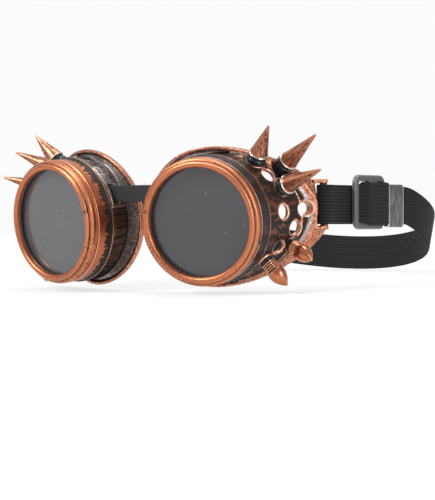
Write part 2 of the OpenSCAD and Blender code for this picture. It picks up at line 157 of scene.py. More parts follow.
class Finish:
    """One material, with its Principled shader and a single way to add nodes."""

    def __init__(self, name, **constants):
        self.material = bpy.data.materials.new(name)
        self.material.use_nodes = True
        self.tree = self.material.node_tree
        self.tree.nodes.clear()
        self.shader = self.tree.nodes.new("ShaderNodeBsdfPrincipled")
        self.end = self.tree.nodes.new("ShaderNodeOutputMaterial")
        self.tree.links.new(self.shader.outputs[0], self.end.inputs[0])
        self.set(**constants)

    def feed(self, node, values):
        for key, value in values.items():
            socket = node.inputs[key]
            if isinstance(value, Shade):
                self.tree.links.new(value.socket, socket)
            else:
                socket.default_value = value

    def node(self, kind, values=None, out=0, **settings):
        node = self.tree.nodes.new("ShaderNode" + kind)
        for key, value in settings.items():
            setattr(node, key, value)
        self.feed(node, values or {})
        return Shade(self, node.outputs[out])

    def set(self, **values):
        self.feed(self.shader, {key.replace("_", " "): value for key, value in values.items()})

    def attribute(self, name, out=2):
        return self.node("Attribute", out=out, attribute_name=name)

    def place(self):
        """Where a point is on its piece, in millimetres along the piece's own axes."""
        return self.attribute("place", out=1)

    def object_place(self):
        """Millimetres in the row's axes, for CAD nodes, whose meshes carry no attribute."""
        return self.node("TexCoord", out=3).stretch(1000, 1000, 1000)

    def noise(self, place, scale, detail=4.0, roughness=0.55, warp=0.0):
        return self.node("TexNoise", {"Vector": place, "Scale": scale, "Detail": detail,
                                      "Roughness": roughness, "Distortion": warp}, normalize=True)

    def mix(self, factor, low, high):
        return self.node("Mix", {0: factor, 6: colour_of(low), 7: colour_of(high)}, 2, data_type="RGBA")

    def bump(self, height, strength, distance):
        return self.node("Bump", {"Height": height, "Strength": strength, "Distance": distance * MM})


def colour_of(value):
    return value if isinstance(value, Shade) else (*value, 1)


print("shader expressions ready")

# %% [markdown]
# ## Places on the goggles
# Each eyecup has its own axes: X runs outward to the temple, Y backward along the lens axis and Z up.
# A matrix takes them to the row's axes, and the right eyecup is the mirror image of the left.

# %% Eyecup axes
LENS_HALF_SPACING = 44.8
TOE_OUT = 10.75
NOSE_DOWN = 4.5
SIDES = {"left": 1, "right": -1}


def turn(degrees, axis):
    return Matrix.Rotation(math.radians(degrees), 4, axis)


def cup_axes(side):
    place = Matrix.Translation((LENS_HALF_SPACING, 0, 0)) @ turn(TOE_OUT, "Z") @ turn(NOSE_DOWN, "X")
    flip = Matrix.Diagonal((SIDES[side], 1, 1, 1))
    return Matrix.Scale(MM, 4) @ flip @ place


print("left lens axis:", [round(v, 3) for v in cup_axes("left").col[1] / MM])

# %% [markdown]
# ## Wear and painted highlights that follow the edges
# Antique plating is dark in the hollows and rubbed bright on edges; the bright edges are partly a
# painted highlight. The convexity of each point is measured on the mesh and stored on it, together
# with the point's own millimetre coordinates. The materials read both.

# %% Tag a mesh with its place and wear
def read(items, name, width, kind=np.float32):
    """One property of all items, as an array with a row for each."""
    values = np.empty(len(items) * width, kind)
    items.foreach_get(name, values)
    return values.reshape(-1, width)


def edge_convexity(mesh):
    """Above 0 on outer edges and below 0 in hollows, averaged over a point's neighbours."""
    points = read(mesh.vertices, "co", 3).astype(np.float64) / MM
    normals = read(mesh.vertex_normals, "vector", 3)
    a, b = read(mesh.edges, "vertices", 2, np.int32).T
    step = points[b] - points[a]
    length = np.linalg.norm(step, axis=1) + 1e-9
    bend = np.zeros(len(points))
    weight = np.zeros(len(points))
    for start, end, sign in ((a, b, 1), (b, a, -1)):
        np.add.at(bend, start, -sign * (step * normals[start]).sum(1) / length)
        np.add.at(weight, start, 1)
    bend /= np.maximum(weight, 1)
    for _ in range(2):
        total = bend.copy()
        np.add.at(total, a, bend[b])
        np.add.at(total, b, bend[a])
        bend = total / (weight + 1)
    return bend


def tag(piece, axes, gain=3.0, more=None):
    """Stores 'place' (the piece's own millimetres), 'wear' (convexity about 0.5, which darkens hollows and
    brightens edges, partly as a painted highlight) and more masks.
    """
    mesh = piece.data
    inverse = np.array(axes.inverted())
    local = read(mesh.vertices, "co", 3) @ inverse[:3, :3].T + inverse[:3, 3]
    place = mesh.attributes.new("place", "FLOAT_VECTOR", "POINT")
    place.data.foreach_set("vector", local.astype(np.float32).ravel())
    wear_and_highlight = np.clip(0.5 + gain * edge_convexity(mesh), 0, 1)
    shares = {"wear_and_highlight": wear_and_highlight}
    shares.update((name, np.clip(rule(local), 0, 1)) for name, rule in (more or {}).items())
    for name, values in shares.items():
        layer = mesh.attributes.new(name, "FLOAT", "POINT")
        layer.data.foreach_set("value", values.astype(np.float32))
    return piece


print("wear is measured on each piece as it is made")

# %% [markdown]
# ## Turned pieces
# Rings, spikes and washers are turned, so each is one outline spun about an axis. Real turned edges
# are never sharp: `rounded` trims each corner to a small curve before the outline is spun.

# %% Lathe
def rounded(points, radius, steps):
    out = []
    count = len(points)
    for i, (x, y) in enumerate(points):
        corner = np.array((x, y))
        before = np.array(points[i - 1]) - corner
        after = np.array(points[(i + 1) % count]) - corner
        room = min(np.linalg.norm(before), np.linalg.norm(after)) * 0.45
        cut = min(radius, room)
        start = corner + before / (np.linalg.norm(before) + 1e-12) * cut
        end = corner + after / (np.linalg.norm(after) + 1e-12) * cut
        for k in range(steps + 1):
            t = k / steps
            out.append(tuple((1 - t) ** 2 * start + 2 * t * (1 - t) * corner + t * t * end))
    return out


def arc(centre, radius, start, end, steps):
    angles = np.radians(np.linspace(start, end, steps + 1))
    return [(centre[0] + radius * math.cos(a), centre[1] + radius * math.sin(a)) for a in angles]


def fill_in(points, longest):
    """Adds points to long runs of a closed outline, so that the convexity for rubbed edges and painted
    highlights has mesh to live on.
    """
    out = []
    for i, start in enumerate(points):
        end = points[(i + 1) % len(points)]
        parts = max(1, math.ceil(math.dist(start, end) / longest))
        run, rise = end[0] - start[0], end[1] - start[1]
        out += [(start[0] + run * k / parts, start[1] + rise * k / parts) for k in range(parts)]
    return out


def new_piece(name, vertices, faces, axes, finish, body, nodes):
    """A closed mesh from millimetre points, with no doubled points and its faces turned outward."""
    mesh = bpy.data.meshes.new(name)
    mesh.from_pydata([axes @ Vector(v) for v in vertices], [], faces)
    clean = bmesh.new()
    clean.from_mesh(mesh)
    bmesh.ops.remove_doubles(clean, verts=clean.verts, dist=1e-7)
    bmesh.ops.recalc_face_normals(clean, faces=clean.faces)
    clean.to_mesh(mesh)
    clean.free()
    mesh.validate()
    mesh.shade_smooth()
    piece = bpy.data.objects.new(name, mesh)
    bpy.context.collection.objects.link(piece)
    piece.data.materials.append(finish.material)
    if body:
        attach(piece, body)
    if nodes:
        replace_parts(piece, *nodes)
    return piece


def grid_faces(rows, size, closed=True):
    """Quads between rows of points. Each row is a loop; if closed, the last row meets the first."""
    return [(i * size + k, i * size + (k + 1) % size, (i + 1) % rows * size + (k + 1) % size,
             (i + 1) % rows * size + k) for i in range(rows if closed else rows - 1) for k in range(size)]


def spin(outline, turns):
    """Vertices and faces of a closed (radius, height) outline spun about Z."""
    vertices = [(r * math.cos(a), r * math.sin(a), h)
                for a in (2 * math.pi * k / turns for k in range(turns)) for r, h in outline]
    return vertices, grid_faces(turns, len(outline))


LENS_UPRIGHT = turn(-90, "X")
LATHE_TURNS = 220


def lens_round(side, name, outline, finish, body, node, turns=LATHE_TURNS):
    """A piece of one side, spun about the lens axis, in the place of one CAD node of that side."""
    vertices, faces = spin(outline, turns)
    return new_piece(side + name, vertices, faces, cup_axes(side) @ LENS_UPRIGHT, finish, side + body,
                     [side + node])


print("a spun outline has", len(spin([(1, 0), (2, 0), (2, 1)], LATHE_TURNS)[1]), "faces")

# %% [markdown]
# ## Antique plating
# The eyecups are moulded and plated: copper over everything, then a black patina that is brushed off
# the high places. One recipe makes all of it. Broad noise gives the brushed areas, fine noise gives
# grain and pits, the stored convexity brightens edges, partly as rubbed copper and partly as a painted
# highlight, and bare copper is smoother than patina.

# %% Plating recipe
COPPER = (0.68, 0.205, 0.088)
# bright copper of convex edges: partly rubbed plating, partly a painted highlight
RUBBED_COPPER_AND_HIGHLIGHT = (0.97, 0.50, 0.30)
PATINA = (0.020, 0.013, 0.011)


def plate(name, cover, gloss, base=COPPER, worn=RUBBED_COPPER_AND_HIGHLIGHT, patina=PATINA, streak=(1, 1, 1),
          scale=0.12, pits=1.0, extra=None):
    """Worn plating. cover is how much of it the patina hides; streak stretches its patches. The worn
    colour on convex edges is partly rubbed copper and partly a painted highlight.
    """
    finish = Finish(name)
    place = finish.place()
    wear_and_highlight = finish.attribute("wear_and_highlight")
    broad = finish.noise(place.stretch(*streak), scale, 6, 0.62, 0.4)
    grain = finish.noise(place, 1.6, 3, 0.6)
    speck = finish.noise(place, 3.2, 2, 0.5)
    # high marks convex edges, whose bright copper is partly rubbed plating and partly a painted highlight
    high = (wear_and_highlight - 0.53).step(0.0, 0.16)
    low = (0.5 - wear_and_highlight).step(0.0, 0.14)
    bare_below, dark_above = 0.62 - cover * 0.35, 0.70 - cover * 0.30
    patch = (broad + (grain - 0.5) * 0.22 + low * 0.30 - high * 0.25).step(bare_below, dark_above)
    pit = (speck * grain).step(0.335, 0.39) * pits
    if extra:
        patch = extra(finish, place, patch, grain)
    dull = tuple(c * 0.72 for c in base)
    tone = finish.mix((grain * 0.8 + broad * 0.5 - 0.25).step(0.2, 0.8), dull, base)
    # convex edges take the bright colour: partly rubbed plating, partly a painted highlight
    rubbed = finish.mix(high, tone, worn)
    colour = finish.mix((patch + pit * 0.8).least(1.0), rubbed, patina)
    finish.set(Base_Color=colour,
               Metallic=0.95 - patch * 0.45,
               Roughness=gloss + patch * 0.16 + grain * 0.12 - high * 0.06,
               Normal=finish.bump(grain * 0.6 + speck * 0.3 - patch * 0.5, 0.28, 0.06))
    return finish


def pitted(finish, place, patch, grain):
    """More black pits low on the nose side of the ring, where the casting is rough."""
    low_nose = (place.part("Z") * -0.8 - place.part("X") * 0.6 - 8).step(0, 20)
    fleck = finish.noise(place.stretch(1, 1, 1.6), 0.9, 5, 0.7, 0.3)
    return patch.most((fleck + low_nose * 0.07).step(0.615, 0.66) * 0.9)


ring_plate = plate("ring plating", cover=0.06, scale=0.10, streak=(1, 1.6, 1), gloss=0.33, extra=pitted)
spike_plate = plate("spike plating", base=(0.66, 0.26, 0.145), patina=(0.10, 0.042, 0.028), cover=0.34,
                    scale=0.8, streak=(1, 1, 0.08), gloss=0.28, pits=0.1)
bullet_plate = plate("stud plating", base=(0.70, 0.25, 0.12), cover=0.04, scale=0.4, gloss=0.2, pits=0.3)
print("plating:", [f.material.name for f in (ring_plate, spike_plate, bullet_plate)])

# %% [markdown]
# ## Retaining rings
# The ring is what the eye meets first: two rolled beads with a dark groove between them, and a skirt
# that hides in the barrel, where four plain ridges stand for its thread. The beads repeat the CAD's
# arcs. All outlines here are (radius, distance behind the ring's front) in millimetres.

# %% Rings
RING_RADIUS = 30.15
OPENING_RADIUS = 25.6
LIP_FLOOR = 2.9
FRONT_BEAD, REAR_BEAD = 1.6, 1.5
SKIRT_RADIUS, SKIRT_BORE, SKIRT_END = 28.4, 27.2, 10.8
RIDGES, RIDGE_START, RIDGE_PITCH = 4, 6.5, 1.05


def ring_outline():
    front = arc((OPENING_RADIUS + FRONT_BEAD, FRONT_BEAD), FRONT_BEAD, 180, 325, 16)
    groove = [(28.72, 1.58), (28.9, 1.62)]
    rear = arc((RING_RADIUS - REAR_BEAD, 3.15), REAR_BEAD, -62, 0, 6)
    rear += arc((RING_RADIUS - REAR_BEAD, 4.2), REAR_BEAD, 0, 90, 8)
    back = [(29.35, 5.72), (29.35, 6.0), (SKIRT_RADIUS, 6.0)]
    skirt = []
    for k in range(RIDGES):
        w = RIDGE_START + RIDGE_PITCH * k
        skirt += [(SKIRT_RADIUS, w), (SKIRT_RADIUS - 0.4, w + 0.42), (SKIRT_RADIUS, w + 0.84)]
    inner = [(SKIRT_RADIUS, SKIRT_END), (SKIRT_BORE, SKIRT_END), (SKIRT_BORE, LIP_FLOOR),
             (OPENING_RADIUS, LIP_FLOOR)]
    return fill_in(front + groove + rear + back + skirt + inner, 0.7)


for side in SIDES:
    ring = lens_round(side, "_ring", ring_outline(), ring_plate, "_ring", "_retaining_ring")
    tag(ring, cup_axes(side), gain=1.6)
print("ring outline points:", len(ring_outline()))

# %% [markdown]
# ## Barrel bands
# Behind each ring is a band with a hollow waist, a fine bright edge in front and a sharp one behind.
# On the left it is nearly all patina; on the right the front half is brushed to copper and the
# boundary is ragged along the brush strokes. The same recipe takes that boundary as an extra mask.

# %% Barrels
def band_outline():
    outer = [(29.85, 6.05), (30.2, 6.3), (30.2, 6.75), (29.85, 7.2), (29.8, 8.5), (29.82, 10.5),
             (30.05, 12.6), (30.55, 14.0), (30.8, 14.3), (30.8, 15.0)]
    inner = [(28.35, 15.0), (28.35, 12.6), (24.9, 12.6), (24.9, 7.5), (26.95, 7.5), (26.95, 11.1),
             (28.45, 11.1), (28.45, 6.05)]
    return fill_in(rounded(outer + inner, 0.14, 2), 0.6)


def ragged(finish, place, patch, grain):
    """Copper in front of a ragged line, patina behind it, bright again at the rear edge."""
    strokes = finish.noise(place.stretch(1, 0.16, 1), 0.55, 4, 0.6)
    line = (place.part("Y") + (strokes - 0.5) * 11 - 10.6).step(0, 0.9)
    edge = (place.part("Y") - 14.2).step(0, 0.3)
    return (patch * 0.5).most(line * (1 - edge * 0.75))


# the worn colours brighten convex edges: partly rubbed plating, partly a painted highlight
left_band = plate("left band plating", base=(0.13, 0.062, 0.045), worn=(0.75, 0.42, 0.29),
                  patina=(0.03, 0.021, 0.020), cover=0.62, streak=(1, 0.35, 1), scale=0.22, gloss=0.3)
right_band = plate("right band plating", cover=0.2, gloss=0.28, extra=ragged)
for side, finish in (("left", left_band), ("right", right_band)):
    band = lens_round(side, "_band", band_outline(), finish, "_cup", "_barrel")
    tag(band, cup_axes(side), gain=1.6)
print("bands done")

# %% [markdown]
# ## Eyecup shells
# The shell is one moulding with soft edges. The CAD solid already has its shape, so its mesh is
# copied, remeshed to an even 0.45 mm grid and smoothed a little: that rounds every edge as a mould
# does, and gives the convexity for rubbed edges and painted highlights something to be measured on.
# Five places differ in finish. The flange is nearly bare metal, the bead round the rim is red copper,
# the groove before it is painted near black as shade, the walls of the vents are copper painted bright
# as a highlight and the inside is brown. Each has a mask, worked out from where a point is.

# %% Eyecups
SHELL_START = 15.0
SHELL_RADIUS = 28.7
LEAN = math.radians(7.5)
FACE_CENTRE = (-15.2, 110.7)
FACE_RADIUS = 84.1
RIM_CENTRE = (4.25, 40.5)
RIM_SWEEP = math.radians(23.4)
GREY = ((0.075, 0.068, 0.066), (0.52, 0.48, 0.46))
RED_COPPER = ((0.30, 0.11, 0.065), (0.80, 0.33, 0.20))
# painted shade: near black, laid in the groove before the rim's bead
GROOVE_PAINTED_SHADE = (0.012, 0.010, 0.010)
# copper painted bright as a highlight on the vent walls and bevels
VENT_COPPER_PAINTED_HIGHLIGHT = (0.92, 0.52, 0.37)
INSIDE_BROWN = (0.13, 0.062, 0.042)


def face_depth(p):
    """Distance in front of the cylinder of the face, on which the rim ends."""
    return np.hypot(p[:, 0] - FACE_CENTRE[0], p[:, 1] - FACE_CENTRE[1]) - FACE_RADIUS


def rim_radius(p):
    """Distance from the leaning axis of the rim's outline."""
    outward, back = p[:, 0] - RIM_CENTRE[0], p[:, 1] - RIM_CENTRE[1]
    across = outward * math.cos(RIM_SWEEP) - back * math.sin(RIM_SWEEP)
    return np.hypot(across, p[:, 2])


def ramp(value, low, high):
    return np.clip((value - low) / (high - low), 0, 1)


def shell_place(p):
    """Distance along the shell's axis, and sideways from it."""
    s, c = math.sin(LEAN), math.cos(LEAN)
    return p[:, 0] * s + (p[:, 1] - SHELL_START) * c, p[:, 0] * c - (p[:, 1] - SHELL_START) * s


def shell_gap(p):
    """Distance outside the shell's cone, whose axis turns to the temple."""
    along, across = shell_place(p)
    return np.hypot(across, p[:, 2]) - (SHELL_RADIUS + along * math.tan(LEAN))


def flange_share(p):
    """The flat between the shell and the bead, with the bead's front wall."""
    face = 1 - ramp(face_depth(p), 1.9, 2.2)
    bead_wall = ramp(rim_radius(p), 31.3, 31.6) * (1 - ramp(face_depth(p), 3.9, 4.3))
    near = ramp(face_depth(p), 0.9, 1.3) * np.maximum(face, bead_wall)
    return near * ramp(shell_gap(p), 0.6, 1.0) * (1 - ramp(rim_radius(p), 32.1, 32.4))


# each vent's distance along the shell's axis and its angle round it, from the temple upward
VENTS = [(15, 40), (15.6, 4), (15.6, -28.6), (24, -11.8), (30, 3.6)]
VENT_REACH = (3.75, 4.05)


def vent_share(p):
    """1 on the walls and bevels of the round vents: distance from each vent's own line."""
    along, across = shell_place(p)
    share = np.zeros(len(p))
    for start, around in VENTS:
        a = math.radians(around)
        aside = p[:, 2] * math.cos(a) - across * math.sin(a)
        outward = across * math.cos(a) + p[:, 2] * math.sin(a)
        near = 1 - ramp(np.hypot(along - start, aside), *VENT_REACH)
        share = np.maximum(share, near * (outward > 10))
    return share


def shell_plate(name, base, worn, cover, flange, groove, silver_from=None):
    """Plating of a shell. Above the height silver_from, where given, it turns to grey metal."""
    def rule(finish, place, patch, grain):
        return patch * (1 - finish.attribute("flange") * 0.9) * (1 - finish.attribute("bead") * 0.75)
    finish = plate(name, base=base, worn=worn, cover=cover, scale=0.42, streak=(1, 0.2, 1),
                   gloss=0.3, extra=rule)
    colour = Shade(finish, finish.shader.inputs["Base Color"].links[0].from_socket)
    grain = finish.noise(finish.place(), 0.9, 4, 0.6)
    if silver_from is not None:
        grey_above = (finish.place().part("Z") + grain * 9).step(silver_from, silver_from + 14)
        grey = finish.mix((grain * 1.2 - 0.1).step(0.3, 0.75), *GREY)
        colour = finish.mix(grey_above * 0.85, colour, grey)
    silver = finish.mix(grain.step(0.3, 0.75), *flange)
    red = finish.mix(grain.step(0.35, 0.7), *RED_COPPER)
    # The groove's near-black tone is painted shade, and the bright copper on the vent walls is a painted
    # highlight.
    for mask, strength, tone in (("flange", 1, silver), ("groove", groove, GROOVE_PAINTED_SHADE), ("bead", 1, red),
                                 ("vent", 1 - grain * 0.5, VENT_COPPER_PAINTED_HIGHLIGHT), ("inside", 0.75, INSIDE_BROWN)):
        share = finish.attribute(mask)
        colour = finish.mix(share if strength == 1 else share * strength, colour, tone)
    finish.set(Base_Color=colour)
    return finish


def moulded(name, node, side, finish, body, voxel=0.45, rounds=3, more=None):
    """A copy of a CAD node's mesh, remeshed and smoothed so that its edges are rounded."""
    piece = bpy.data.objects.new(name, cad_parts[node].data.copy())
    bpy.context.collection.objects.link(piece)
    grid = piece.modifiers.new("grid", "REMESH")
    grid.mode = "VOXEL"
    grid.voxel_size = voxel * MM
    soften = piece.modifiers.new("soften", "SMOOTH")
    soften.iterations = rounds
    soften.factor = 0.5
    done = bpy.data.meshes.new_from_object(piece.evaluated_get(bpy.context.evaluated_depsgraph_get()))
    piece.modifiers.clear()
    piece.data = done
    done.materials.clear()
    done.materials.append(finish.material)
    done.shade_smooth()
    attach(piece, body)
    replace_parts(piece, node)
    return tag(piece, cup_axes(side), gain=2.2, more=more)


# the worn colours of both shells brighten convex edges: partly rubbed plating, partly a painted highlight
left_shell = shell_plate("left eyecup plating", base=(0.34, 0.125, 0.072), worn=(0.90, 0.46, 0.30),
                         cover=0.62, flange=((0.34, 0.27, 0.26), (0.86, 0.76, 0.73)), groove=0.2)
# groove is how strongly the groove is painted with shade: faintly on the left, nearly black on the right
right_shell = shell_plate("right eyecup plating", base=(0.30, 0.17, 0.125), worn=(0.72, 0.50, 0.40),
                          cover=0.36, flange=((0.16, 0.14, 0.135), (0.62, 0.55, 0.52)), groove=0.95,
                          silver_from=6)
MASKS = {
    "flange": flange_share,
    "groove": lambda p: flange_share(p) * ramp(rim_radius(p), 30.7, 31.1),
    "bead": lambda p: ramp(rim_radius(p), 32.1, 32.4) * (1 - ramp(face_depth(p), 4.6, 5.2)),
    "inside": lambda p: ramp(-shell_gap(p), 1.0, 1.5),
    "vent": vent_share}
for side, finish in (("left", left_shell), ("right", right_shell)):
    shell = moulded(side + "_shell", side + "_eyecup", side, finish, side + "_cup",
                    more=MASKS)
    print(shell.name, "vertices:", len(shell.data.vertices))

# %% [markdown]
# ## Spikes and studs
# Five studs stand on each eyecup. A spike is a black collar, a bright washer and a copper cone whose
# dark streaks run to the tip, so its noise is stretched along its own axis. The right eyecup's
# spikes lean a little differently, as hand-set ones do.

# %% Stud places
BOSS = 1.0
WASHER = 0.8
# name, distance along the shell, angle round it, the stud's own fan and lean in degrees, collar, length
SPIKES = {
    "left": [("spike_upper", 14, 55.5, 59.5, 16.3, 4.8, 16),
             ("spike_middle", 24, 41, 35.4, 19.7, 7.6, 23),
             ("spike_side", 18.5, 25.5, 19.6, 21, 4.4, 23)],
    "right": [("spike_upper", 14, 55.5, 49.3, 11.1, 4.8, 16),
              ("spike_middle", 24, 41, 23.8, 18.2, 7.6, 23),
              ("spike_side", 18.5, 25.5, 18, 28.5, 4.4, 23)]}
STUDS = {
    "left": [("bullet_side", 23.5, -26, -26.4, 25.8, 1.8, 9.9),
             ("bullet_lower", 8.5, -40, -49, -0.2, 1.6, 9.9)],
    "right": [("bullet_side", 23.5, -26, -26.4, 25.8, 1.8, 9.9),
              ("bullet_lower", 8.5, -40, -52.7, -5, 1.6, 9.9)]}


def stud_axes(side, along, around, fan, lean):
    """Axes at the foot of a stud, with Z along the stud."""
    radius = SHELL_RADIUS + along * math.tan(LEAN)
    a = math.radians(around)
    foot = Vector((along * math.sin(LEAN) + radius * math.cos(a) * math.cos(LEAN),
                   SHELL_START + along * math.cos(LEAN) - radius * math.cos(a) * math.sin(LEAN),
                   radius * math.sin(a)))
    return cup_axes(side) @ Matrix.Translation(foot) @ turn(90 - fan, "Y") @ turn(lean, "X")


foot_mm = stud_axes("left", *SPIKES["left"][1][1:5]).translation / MM
print("left middle spike foot:", [round(v, 1) for v in foot_mm])

# %% Stud finishes
gloss_black = Finish("glossy black collars", Metallic=0.0)
gloss_noise = gloss_black.noise(gloss_black.place(), 0.9).step(0.4, 0.75)
gloss_black.set(Base_Color=gloss_black.mix(gloss_noise, (0.008, 0.008, 0.010), (0.035, 0.033, 0.036)),
                Roughness=0.16 + gloss_black.noise(gloss_black.place(), 1.3) * 0.14)
bright = Finish("bright washers", Metallic=1.0)
bright_noise = bright.noise(bright.place(), 0.8).step(0.35, 0.7)
bright.set(Base_Color=bright.mix(bright_noise, (0.62, 0.55, 0.48), (0.86, 0.82, 0.78)),
           Roughness=0.18 + bright.noise(bright.place(), 2.0) * 0.15)


def turned(name, outline, axes, finish, body, nodes=(), turns=56):
    vertices, faces = spin(fill_in(rounded(outline, 0.16, 2), 0.9), turns)
    return tag(new_piece(name, vertices, faces, axes, finish, body, nodes), axes, gain=1.4)


def join(pieces, name):
    """Several solids that share one CAD node become one piece."""
    with bpy.context.temp_override(active_object=pieces[0], object=pieces[0], selected_objects=pieces,
                                   selected_editable_objects=pieces):
        bpy.ops.object.join()
    pieces[0].name = name
    return pieces[0]


# %% Spikes
BORE = 1.56
WASHER_OUTLINE = [(BORE, 0), (4.5, 0), (4.9, 0.4), (4.5, WASHER), (BORE, WASHER)]


def collar_outline(length):
    """A black collar with a waist under its washer."""
    top = length - WASHER
    return [(BORE, 0), (4.7, 0), (4.7, top - 1.9), (3.95, top - 1.5), (3.95, top - 0.7),
            (4.25, top - 0.5), (4.25, top), (BORE, top)]


def cone_outline(length):
    """A spike with a rolled foot, a blunt tip and a blind bore for its screw."""
    return [(BORE, 0), (4.1, 0), (4.4, 0.35), (4.25, 0.8), (0.45, length - 0.5), (0.27, length - 0.12),
            (0.0, length), (0.0, 5), (BORE, 5)]


def lifted(axes, height):
    return axes @ Matrix.Translation((0, 0, height))


for side in SIDES:
    cup = side + "_cup"
    collars, washers = [], []
    for name, *spot, collar, length in SPIKES[side]:
        axes = stud_axes(side, *spot)
        collars.append(turned(side + "_collar_" + name, collar_outline(collar), lifted(axes, BOSS),
                              gloss_black, cup))
        washers.append(turned(side + "_washer_" + name, WASHER_OUTLINE,
                              lifted(axes, BOSS + collar - WASHER), bright, cup))
        turned(side + "_" + name + "_cone", cone_outline(length), lifted(axes, BOSS + collar), spike_plate,
               cup, [side + "_" + name])
    for name, *spot, base, length in STUDS[side]:
        axes = lifted(stud_axes(side, *spot), BOSS)
        collars.append(turned(side + "_base_" + name, [(BORE, 0), (3.7, 0), (3.7, base), (BORE, base)],
                              axes, gloss_black, cup))
    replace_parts(join(collars, side + "_black_collars"), side + "_spike_collars")
    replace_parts(join(washers, side + "_bright_washers"), side + "_spike_washers")
print("spikes done")

# %% Bullet studs
def bullet_outline(length):
    """A neck with four rings below a bullet-shaped head."""
    neck = 4.6
    rings = []
    for k in range(4):
        z = 0.1 + k * 1.12
        rings += [(2.95, z), (3.4, z + 0.22), (3.4, z + 0.62), (2.95, z + 0.84)]
    shoulder = neck + length * 0.28
    head = [(4.1 * (1 - s ** 1.7) + 0.3 * s * (1 - s), shoulder + (neck + length - shoulder) * s)
            for s in np.linspace(0, 1, 12)]
    foot = [(2.95, neck), (3.7, neck), (4.02, neck + 0.5)]
    return [(BORE, 0)] + rings + foot + head + [(0, 4), (BORE, 4)]


for side in SIDES:
    for name, *spot, base, length in STUDS[side]:
        axes = lifted(stud_axes(side, *spot), BOSS + base)
        turned(side + "_" + name + "_stud", bullet_outline(length), axes, bullet_plate, side + "_cup",
               [side + "_" + name], turns=64)
print("studs done")

# %% [markdown]
# ## Elastic strap
# The strap is ribbed elastic webbing, 18.8 mm wide. It is modelled directly, because a flat band is too
# thin to remesh. A route of points carries the band's middle line and a frame of axes at each point,
# and a ribbed cross-section is swept along it. Both halves are one piece that bends at the back.

# %% Webbing finish
RIB_PITCH = 1.48


def knitted(name, stitch, rib_share, light):
    """Elastic webbing: ribs along it, crossed by slanting stitches."""
    webbing = Finish(name, Specular_IOR_Level=0.25, Metallic=0.0)
    cloth = webbing.attribute("cloth", out=1)
    across, along = cloth.part("Y"), cloth.part("X")
    rib = across.wave(RIB_PITCH)
    slant = (along + across * 0.7).wave(stitch)
    row = across.wave(RIB_PITCH / 2)
    lint = webbing.noise(cloth.stretch(0.5, 1.6, 1), 0.9, 4, 0.6)
    knit = rib * rib_share + slant * row * (1.1 - rib_share)
    shade = (knit + lint * 0.35 - 0.2).step(0, 1.0)
    webbing.set(Base_Color=webbing.mix(shade, (0.0015, 0.0015, 0.002), light),
                Roughness=0.84 - rib * 0.10,
                Normal=webbing.bump(knit + lint * 0.25, 0.6, 0.16))
    return webbing


webbing = knitted("black elastic webbing", 0.9, 0.55, (0.024, 0.023, 0.025))
loop_webbing = knitted("coarse slider webbing", 1.25, 0.2, (0.045, 0.043, 0.046))
print("webbing finish ready")


# %% Sweep a band
def band_section(width, thickness):
    """Closed cross-section (out, up): ribbed outside and inside, with rounded edges."""
    ribs, rib_depth, margin = 12, 0.055, 0.5
    steps = ribs * 6
    half = width / 2
    outside = []
    for k in range(steps + 1):
        up = -half + margin + (width - 2 * margin) * k / steps
        wave = rib_depth * math.cos(2 * math.pi * ribs * k / steps)
        outside.append((thickness / 2 - rib_depth - wave, up))
    edge = [(thickness * 0.33, half - 0.12), (0, half), (-thickness * 0.33, half - 0.12)]
    inside = [(-out, up) for out, up in reversed(outside)]
    low = [(-out, -up) for out, up in edge]
    return outside + edge + inside + low


def sweep_band(name, route, width, thickness, finish, body, nodes):
    """route: list of (middle point, outward axis, upward axis) in millimetres. The 'cloth' mask
    holds where a point lies along, up and out of the flat band, so that the knit bends with it."""
    section = band_section(width, thickness)
    size = len(section)
    vertices, cloth_values = [], []
    travelled = 0.0
    for i, (middle, out, up) in enumerate(route):
        if i:
            travelled += (middle - route[i - 1][0]).length
        for across_out, across_up in section:
            vertices.append(middle + out * across_out + up * across_up)
            cloth_values.append((travelled, across_up, across_out))
    last = (len(route) - 1) * size
    faces = grid_faces(len(route), size, False) + [tuple(range(size)), tuple(range(last, last + size))]
    piece = new_piece(name, vertices, faces, Matrix.Scale(MM, 4), finish, body, nodes)
    values = np.array(cloth_values, np.float32).ravel()
    piece.data.attributes.new("cloth", "FLOAT_VECTOR", "POINT").data.foreach_set("vector", values)
    return piece


def smooth_path(points, rounds, step=1.2):
    """Evenly spaced points on a path, with its corners eased."""
    points = [Vector(p) for p in points]
    dense = []
    for a, b in zip(points, points[1:]):
        parts = max(1, math.ceil((b - a).length / step))
        dense += [a.lerp(b, k / parts) for k in range(parts)]
    dense.append(points[-1])
    for _ in range(rounds):
        dense = [dense[0]] + [(dense[i - 1] + dense[i] * 2 + dense[i + 1]) / 4
                              for i in range(1, len(dense) - 1)] + [dense[-1]]
    return dense


def band_route(points, up_at):
    """Gives each point the band's outward axis and the axis up its width."""
    route = []
    for i, p in enumerate(points):
        heading = (points[min(i + 1, len(points) - 1)] - points[max(i - 1, 0)]).normalized()
        out = heading.cross(up_at(p)).normalized()
        route.append((p, out, out.cross(heading)))
    return route


# %% [markdown]
# The route repeats the CAD's numbers: a loop round the temple bar, two layers that come together,
# a gently falling side, then a steeper fall behind the ears and a half ellipse round the head.

# %% Strap route
BAR = Vector((78.137, 56.014, 6.9))
BAR_LOOP = 3.0
LAYER = 0.75
SIDE_DROOP = math.radians(2)
BACK_DROOP = math.radians(18)
DROP_Y, DROP_R, ROUND_LEN = 129.0, 32.0, 76.0
STRAP_WIDTH, STRAP_THICK = 18.8, 1.2


def side_point(x, y, z):
    """A point of the side's sloping plane, given from the temple bar's height."""
    dy = y - BAR.y
    return Vector((x, BAR.y + dy * math.cos(SIDE_DROOP) + z * math.sin(SIDE_DROOP),
                   BAR.z - dy * math.sin(SIDE_DROOP) + z * math.cos(SIDE_DROOP)))


